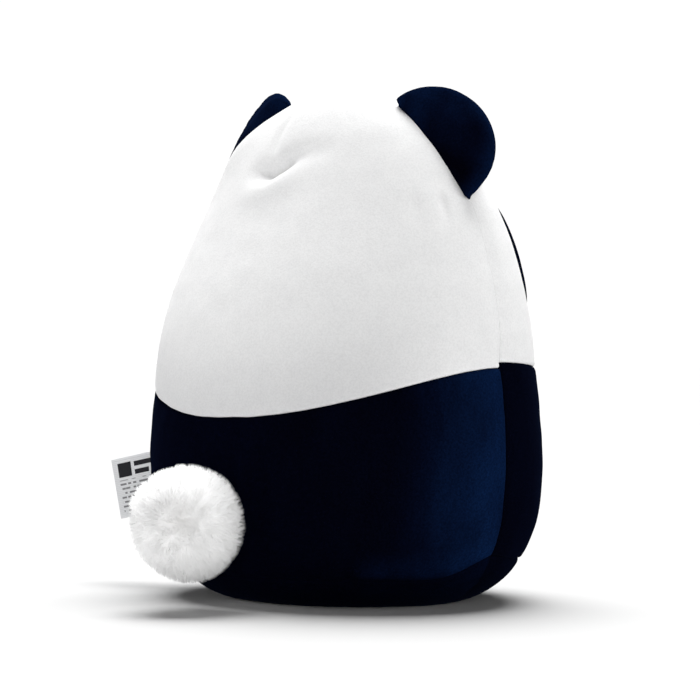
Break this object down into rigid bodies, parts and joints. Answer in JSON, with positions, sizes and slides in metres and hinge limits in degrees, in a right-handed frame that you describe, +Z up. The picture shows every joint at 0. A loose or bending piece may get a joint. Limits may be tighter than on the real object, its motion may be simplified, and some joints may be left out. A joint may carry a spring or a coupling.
{
  "type": "plush panda toy",
  "caption": "Egg-shaped stuffed panda with a white head, navy body, rounded ears that fold, a hanging pompom tail, a folded ribbon label and a flat base to sit on.",
  "frame": {"origin": "on the floor at the centre of the flat part of the base, under the crown", "axes": "+Z up, the face looks along -Y, the tail points along +Y, +X is the panda's left"},
  "size_m": [0.2038, 0.1713, 0.1987],
  "materials": {
    "white_plush": "short velvety polyester pile",
    "navy_plush": "short velvety polyester pile",
    "fibre_fill": "loose polyester fibre",
    "white_embroidery": "satin stitch",
    "dark_embroidery": "satin stitch",
    "navy_thread": "twisted sewing thread",
    "white_thread": "twisted sewing thread",
    "white_fur": "long faux-fur pile",
    "satin_ribbon": null
  },
  "bodies": {
    "body": {"face_panel": "white_plush", "back_head_panel": "white_plush", "front_body_panel": "navy_plush", "back_body_panel": "navy_plush", "base_panel": "navy_plush", "body_stuffing": "fibre_fill", "left_eye_patch": "navy_plush", "right_eye_patch": "navy_plush", "left_eye_white": "white_embroidery", "right_eye_white": "white_embroidery", "left_pupil": "dark_embroidery", "right_pupil": "dark_embroidery", "nose": "dark_embroidery", "mouth": "dark_embroidery", "side_seam_thread": "navy_thread", "front_waist_thread": "navy_thread", "back_waist_thread": "navy_thread", "base_seam_thread": "navy_thread", "crown_dart_thread": "white_thread", "base_dart_threads": "navy_thread", "closing_stitches": "navy_thread"},
    "left_ear": {"left_ear_front": "navy_plush", "left_ear_back": "navy_plush", "left_ear_stuffing": "fibre_fill", "left_ear_thread": "navy_thread"},
    "right_ear": {"right_ear_front": "navy_plush", "right_ear_back": "navy_plush", "right_ear_stuffing": "fibre_fill", "right_ear_thread": "navy_thread"},
    "tail_knot": {"tail_stitch": "white_thread"},
    "tail": {"tail_fur": "white_fur", "tail_stuffing": "fibre_fill"},
    "label": {"care_label": "satin_ribbon"}
  },
  "joints": [
    {"name": "left_ear_fold", "type": "hinge", "parent": "body", "child": "left_ear", "pos_m": [0.05193, 0, 0.17583], "axis": [0.6695, 0, -0.7428], "range_deg": [-25, 20], "stiffness_Nm_per_rad": 0.005},
    {"name": "right_ear_fold", "type": "hinge", "parent": "body", "child": "right_ear", "pos_m": [-0.05193, 0, 0.17583], "axis": [0.6695, 0, 0.7428], "range_deg": [-25, 20], "stiffness_Nm_per_rad": 0.005},
    {"name": "tail_lift", "type": "hinge", "parent": "body", "child": "tail_knot", "pos_m": [0, 0.06844, 0.033], "axis": [1, 0, 0], "range_deg": [-12, 12], "stiffness_Nm_per_rad": 0.012},
    {"name": "tail_swing", "type": "hinge", "parent": "tail_knot", "child": "tail", "pos_m": [0, 0.06844, 0.033], "axis": [0, 0, 1], "range_deg": [-12, 12], "stiffness_Nm_per_rad": 0.012},
    {"name": "label_flip", "type": "hinge", "parent": "body", "child": "label", "pos_m": [0.08294, 0, 0.046], "axis": [0, 0, 1], "range_deg": [-50, 60], "stiffness_Nm_per_rad": 0.001}
  ]
}
